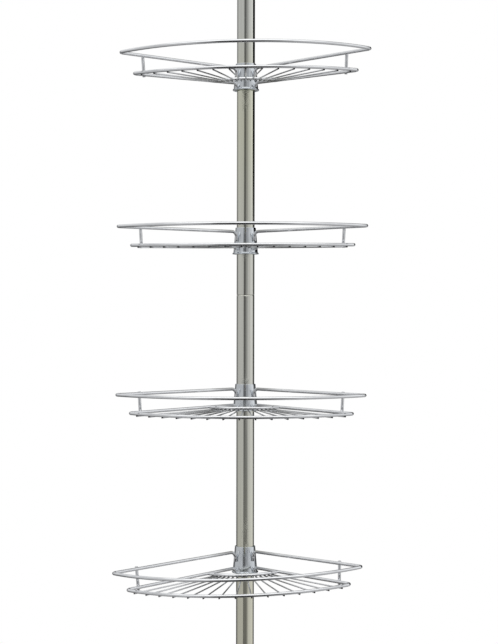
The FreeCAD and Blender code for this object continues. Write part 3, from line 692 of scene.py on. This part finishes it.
def make_grid(shelf):
    """Fifteen thin wires that fan out under both arcs, with a bead at each crossing."""
    mesh = bmesh.new()
    place = base_place(shelf)
    drop = Vector((0, 0, -GRID_DROP))
    for index in range(-GRID_EACH_SIDE, GRID_EACH_SIDE + 1):
        back_angle = index * GRID_BACK_STEP
        front_angle = index * GRID_FRONT_STEP
        back = Vector((math.sin(back_angle), -math.cos(back_angle), 0)) * INNER_ARC_RADIUS
        front = Vector((math.sin(front_angle), -math.cos(front_angle), 0)) * BASE_ARC_RADIUS
        front.y += BASE_ARC_RADIUS - BASE_FRONT
        direction = (front - back).normalized()
        ends = [back - direction * GRID_BACK_OVERHANG + drop,
                front + direction * GRID_FRONT_OVERHANG + drop]
        sweep(mesh, moved(place, ends), GRID_WIRE_RADIUS, GRID_SIDES)
        turn = Matrix.Rotation(math.atan2(direction.x, -direction.y), 4, "Z")
        for crossing in (back, front):
            contact = crossing - Vector((0, 0, WIRE_RADIUS * 0.9))
            bead(mesh, place @ Matrix.Translation(contact) @ turn, CROSS_WELD)
    finish_piece(mesh, shelf + "_floor_wires", shelf + "_basket", [shelf + "_grid_wires"],
                 MATERIALS["floor_wire_painted_shade"], False)


def make_posts(shelf):
    """Two short uprights welded to the backs of the arms."""
    mesh = bmesh.new()
    place = wire_place(shelf)
    planes = SHELVES[shelf]
    foot_height = planes.base_plane - POST_BELOW_BASE
    for side, distance in POST_DISTANCES.items():
        along = arm_direction(side)
        outward = Vector((side * math.cos(ARM_ANGLE), math.sin(ARM_ANGLE), 0))
        rise = Vector((0, 0, 1)) + along * math.tan(POST_LEAN)
        foot = along * distance + outward * POST_OFFSET + Vector((0, 0, foot_height))
        top = foot + rise * (planes.rim_plane + POST_ABOVE_RIM - foot_height)
        sweep(mesh, moved(place, [foot, top]), POST_RADIUS, WIRE_SIDES)
        turn = Matrix.Rotation(side * ARM_ANGLE, 4, "Z")
        floor_drop = distance * math.cos(ARM_ANGLE) * math.sin(math.radians(planes.droop))
        for height in (planes.base_plane - floor_drop, planes.rim_plane):
            centre = foot + rise * (height - foot_height)
            contact = centre - outward * (POST_OFFSET - WIRE_RADIUS * 0.9)
            bead(mesh, place @ Matrix.Translation(contact) @ turn, POST_WELD)
    finish_piece(mesh, shelf + "_uprights", shelf + "_basket", [shelf + "_posts"],
                 MATERIALS["chrome_wire"], False)


def hub_radii(height, total):
    """The hub's outer and inner radius at a height above its foot."""
    outer = HUB_LIP_RADIUS
    if height > HUB_LIP_HEIGHT:
        blend = min((height - HUB_LIP_HEIGHT) / (HUB_FOOT_HEIGHT - HUB_LIP_HEIGHT), 1)
        flare = HUB_LIP_RADIUS + (HUB_FOOT_RADIUS - HUB_LIP_RADIUS) * math.sin(blend * math.pi / 2)
        rise = max(height - HUB_FOOT_HEIGHT, 0) / (total - HUB_FOOT_HEIGHT)
        outer = flare + (HUB_TOP_RADIUS - HUB_FOOT_RADIUS) * rise
    inner = HUB_FOOT_BORE + (HUB_TOP_BORE - HUB_FOOT_BORE) * height / total
    lip_edge = HUB_LIP_HEIGHT / 2
    if height < HUB_LIP_HEIGHT:
        outer -= lip_edge - math.sqrt(lip_edge ** 2 - (height - lip_edge) ** 2)
    near_top = total - height
    if near_top < HUB_EDGE:
        rounding = HUB_EDGE - math.sqrt(HUB_EDGE ** 2 - (HUB_EDGE - near_top) ** 2)
        outer -= rounding
        inner += rounding
    return outer, inner


def make_hub(shelf):
    """The flared cone, open in a short slot at the front of its top edge."""
    foot, top = heights(shelf + "_hub")
    total = top - foot
    slot_foot = total - HUB_SLOT_DEPTH
    lip = [HUB_LIP_HEIGHT * (1 - math.cos(math.pi * step / 10)) / 2 for step in range(11)]
    flare = [HUB_LIP_HEIGHT + (HUB_FOOT_HEIGHT - HUB_LIP_HEIGHT) * step / 5 for step in range(1, 6)]
    side = [HUB_FOOT_HEIGHT + (slot_foot - HUB_FOOT_HEIGHT) * step / HUB_ROWS
            for step in range(1, HUB_ROWS + 1)]
    slot = [slot_foot + (HUB_SLOT_DEPTH - HUB_EDGE) * step / 8 for step in range(1, 9)]
    edge = [total - HUB_EDGE + HUB_EDGE * math.sin(math.pi / 2 * step / 4) for step in range(1, 5)]
    rows = lip + flare + side + slot + edge
    slot_row = len(lip + flare + side) - 1
    half_slot = HUB_SLOT_WIDTH / 2 / HUB_TOP_RADIUS
    angles = [half_slot + (2 * math.pi - 2 * half_slot) * step / HUB_COLUMNS
              for step in range(HUB_COLUMNS + 1)]
    angles.append(2 * math.pi)
    mesh = bmesh.new()
    place = hub_place(shelf)
    outside, inside = [], []
    for height in rows:
        outer, inner = hub_radii(height, total)
        for radius, wall in ((outer, outside), (inner, inside)):
            wall.append([mesh.verts.new(place @ Vector((
                radius * math.sin(angle), -radius * math.cos(angle), height))) for angle in angles])
    columns = len(angles)
    for row in range(len(rows) - 1):
        for column in range(columns):
            beside = (column + 1) % columns
            in_slot = column >= columns - 2
            if in_slot and row >= slot_row:
                continue
            for wall in (outside, inside):
                mesh.faces.new((wall[row][column], wall[row][beside],
                                wall[row + 1][beside], wall[row + 1][column]))
    for column in range(columns):
        beside = (column + 1) % columns
        upper = slot_row if column >= columns - 2 else len(rows) - 1
        for row in (0, upper):
            mesh.faces.new((outside[row][column], outside[row][beside],
                            inside[row][beside], inside[row][column]))
    for column in (0, columns - 2):
        for row in range(slot_row, len(rows) - 1):
            mesh.faces.new((outside[row][column], outside[row + 1][column],
                            inside[row + 1][column], inside[row][column]))
    loose = [vertex for vertex in mesh.verts if not vertex.link_faces]
    bmesh.ops.delete(mesh, geom=loose, context="VERTS")
    finish_piece(mesh, shelf + "_cone", shelf + "_basket", [shelf + "_hub"],
                 MATERIALS["chrome_hub"])


# ---------------------------------------------------------------- kept CAD pieces
def dress_kept_nodes():
    """Give each CAD node that still shows the material of its slot."""
    slots = {"tube_connector": "plain_steel", "tension_spring": "plain_steel", "lock_plug": "nylon",
             "lock_sleeve": "nylon", "spring_seat": "nylon", "plunger_bushing": "nylon"}
    for shelf in SHELVES:
        slots[shelf + "_clip_left"] = "clip_plastic"
        slots[shelf + "_clip_right"] = "clip_plastic"
    for name, slot in slots.items():
        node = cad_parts[name]
        if not node.material_slots:
            node.data.materials.append(MATERIALS[slot])
        for material_slot in node.material_slots:
            material_slot.material = MATERIALS[slot]


# ---------------------------------------------------------------- surroundings
def make_floor():
    """A round pale floor that fades out at its edge."""
    mesh = bmesh.new()
    bmesh.ops.create_circle(mesh, cap_ends=True, segments=96, radius=FLOOR_RADIUS)
    data = bpy.data.meshes.new("studio_floor")
    mesh.to_mesh(data)
    mesh.free()
    floor = bpy.data.objects.new("studio_floor", data)
    bpy.context.scene.collection.objects.link(floor)
    material, tree, shader = new_material("studio_floor", 0.0, Roughness=0.7)
    paper = noise(tree, (300, 300, 300), 3)
    tree.links.new(ramp(tree, paper, [(0.3, (0.80, 0.80, 0.80)), (0.7, (0.83, 0.83, 0.83))]),
                   shader.inputs["Base Color"])
    distance = add_node(tree, "ShaderNodeVectorMath", {0: texture_space(tree, (1, 1, 1))},
                        operation="LENGTH")
    fade = spread(tree, distance.outputs["Value"], 1.0, 0.0, FLOOR_CLEAR_RADIUS, FLOOR_RADIUS * 0.98)
    tree.links.new(fade, shader.inputs["Alpha"])
    data.materials.append(material)
    floor.visible_glossy = False


def smooth_step(tree, value, low, high):
    """0 below low, 1 above high, and a soft step between."""
    node = add_node(tree, "ShaderNodeMapRange", {
        "Value": value, "From Min": low, "From Max": high, "To Min": 0.0, "To Max": 1.0},
        interpolation_type="SMOOTHSTEP")
    return node.outputs["Result"]


def mix_colours(tree, factor, first, second):
    """A mix of two colours."""
    node = add_node(tree, "ShaderNodeMix", {"Factor": factor, "A": first, "B": second}, data_type="RGBA")
    return node.outputs["Result"]


# The studio round the object, in five rings of rising elevation. Each entry is a direction in
# degrees, from straight behind the camera, and a brightness. RINGS says between which elevations,
# in degrees, a ring fades into the one above it.
FLOOR_RING = [
    (-180, 0.02), (-168, 0.14), (-104, 0.16), (-92, 0.46), (-42, 0.50), (-30, 0.012), (22, 0.012),
    (27, 0.10), (36, 0.16), (44, 0.46), (100, 0.46), (150, 0.36), (168, 0.14), (180, 0.02),
]
LEVEL_RING = [
    (-180, 0.36), (-162, 0.24), (-150, 0.11), (-126, 0.13), (-116, 0.44), (-104, 0.56), (-26, 0.57),
    (-20, 0.13), (-14, 0.15), (-6, 0.22), (8, 0.19), (14, 0.15), (20, 0.26), (30, 0.34), (40, 0.60),
    (70, 0.72), (104, 0.80), (116, 0.60), (127, 0.06), (150, 0.06), (158, 0.34), (180, 0.36),
]
MIDDLE_RING = [
    (-180, 0.80), (-170, 0.60), (-162, 0.26), (-150, 0.14), (-126, 0.16), (-118, 0.46), (-104, 0.57),
    (-26, 0.57), (-21, 0.13), (-2, 0.11), (5, 0.31), (23, 0.35), (34, 0.58), (70, 0.74), (102, 0.82),
    (110, 0.40), (116, 0.08), (150, 0.06), (158, 0.34), (170, 0.60), (180, 0.80),
]
UPPER_RING = [
    (-180, 0.36), (-162, 0.36), (-150, 0.26), (-130, 0.26), (-120, 0.50), (-104, 0.57), (-25, 0.57),
    (-19, 0.16), (2, 0.12), (7, 0.34), (26, 0.40), (36, 0.60), (70, 0.76), (94, 0.95), (98, 0.75),
    (101, 0.0), (171, 0.0), (176, 0.36), (180, 0.36),
]
HIGH_RING = [
    (-180, 0.45), (-165, 0.62), (-132, 0.80), (-120, 0.95), (-104, 0.85), (-88, 0.60), (-30, 0.52),
    (-20, 0.30), (-8, 0.24), (4, 0.30), (14, 0.42), (50, 0.52), (84, 0.78), (102, 0.92), (122, 0.85),
    (132, 0.20), (148, 0.12), (165, 0.34), (180, 0.45),
]
RINGS = ((LEVEL_RING, -16.5, -13), (MIDDLE_RING, -5.5, -3.5), (UPPER_RING, 1.8, 4.3), (HIGH_RING, 24, 30))
WALL_TINT = (0.985, 0.99, 1.0)
SOFTBOX = (1.25, 1.25, 1.25, 1)
SOFTBOX_ELEVATION = math.radians(65)
SOFTBOX_EDGE = (0.67, 0.77)               # cosines of the angle from its middle where it fades


def make_ring(tree, turn, ring):
    """One ring of the studio, as a colour for each direction."""
    return ramp(tree, turn, [((degrees + 180) / 360, [brightness * tint for tint in WALL_TINT])
                             for degrees, brightness in ring])


def make_world():
    """White to the camera, and a plain studio to everything that reflects or is lit by it."""
    world = bpy.data.worlds.new("studio")
    bpy.context.scene.world = world
    world.use_nodes = True
    tree = world.node_tree
    tree.nodes.clear()
    direction = add_node(tree, "ShaderNodeTexCoord").outputs["Generated"]
    axes = add_node(tree, "ShaderNodeSeparateXYZ", {"Vector": direction})
    towards_camera = add_node(tree, "ShaderNodeMath", {0: axes.outputs["Y"], 1: -1.0}, operation="MULTIPLY")
    around = add_node(tree, "ShaderNodeMath", {
        0: axes.outputs["X"], 1: towards_camera.outputs["Value"]}, operation="ARCTAN2")
    turn = spread(tree, around.outputs["Value"], 0.0, 1.0, -math.pi, math.pi)
    walls = make_ring(tree, turn, FLOOR_RING)
    for ring, low, high in RINGS:
        reached = smooth_step(tree, axes.outputs["Z"],
                              math.sin(math.radians(low)), math.sin(math.radians(high)))
        walls = mix_colours(tree, reached, walls, make_ring(tree, turn, ring))
    axis = (0, -math.cos(SOFTBOX_ELEVATION), math.sin(SOFTBOX_ELEVATION))
    nearness = add_node(tree, "ShaderNodeVectorMath", {0: direction, 1: axis}, operation="DOT_PRODUCT")
    in_softbox = smooth_step(tree, nearness.outputs["Value"], *SOFTBOX_EDGE)
    studio = mix_colours(tree, in_softbox, walls, SOFTBOX)
    seen_directly = add_node(tree, "ShaderNodeLightPath").outputs["Is Camera Ray"]
    colour = mix_colours(tree, seen_directly, studio, (1, 1, 1, 1))
    background = add_node(tree, "ShaderNodeBackground", {"Color": colour, "Strength": 1.0})
    output = add_node(tree, "ShaderNodeOutputWorld")
    tree.links.new(background.outputs["Background"], output.inputs["Surface"])


def make_light(name, location, target, size, power):
    """A large soft light that only falls on surfaces, and isn't mirrored in the chrome."""
    light = bpy.data.lights.new(name, "AREA")
    light.shape = "SQUARE"
    light.size = size
    light.energy = power
    lamp = bpy.data.objects.new(name, light)
    lamp.location = location
    lamp.rotation_euler = (Vector(target) - Vector(location)).to_track_quat("-Z", "Y").to_euler()
    lamp.visible_glossy = False
    bpy.context.scene.collection.objects.link(lamp)


# ---------------------------------------------------------------- camera
CAMERA_PLACE = (0.00435, -1.931, 0.7409)
CAMERA_PITCH = math.radians(-0.61)
CAMERA_ROLL = math.radians(0.11)
CAMERA_LENS = 87.0


def make_camera():
    """The photographer's camera, nearly level, in front of the pole."""
    data = bpy.data.cameras.new("camera")
    data.lens = CAMERA_LENS
    data.sensor_width = 36
    data.clip_start = 0.05
    data.clip_end = 50
    camera = bpy.data.objects.new("camera", data)
    level = Matrix.Rotation(math.pi / 2 + CAMERA_PITCH, 4, "X")
    camera.matrix_world = Matrix.Translation(CAMERA_PLACE) @ level @ Matrix.Rotation(CAMERA_ROLL, 4, "Z")
    bpy.context.scene.collection.objects.link(camera)
    bpy.context.scene.camera = camera


make_outer_tubes()
make_inner_tube()
make_plunger()
make_sockets()
make_pads()
for shelf_name in SHELVES:
    make_hub(shelf_name)
    make_quarter_wires(shelf_name)
    make_inner_arc(shelf_name)
    make_grid(shelf_name)
    make_posts(shelf_name)
dress_kept_nodes()
make_floor()
make_world()
make_light("key_light", (-1.6, -1.8, 2.6), (0, 0, 0.7), 1.6, 40)
make_light("fill_light", (1.8, -1.2, 1.6), (0, 0, 0.7), 1.8, 15)
make_camera()
bpy.context.scene.view_settings.view_transform = "Standard"

bpy.context.view_layer.update()
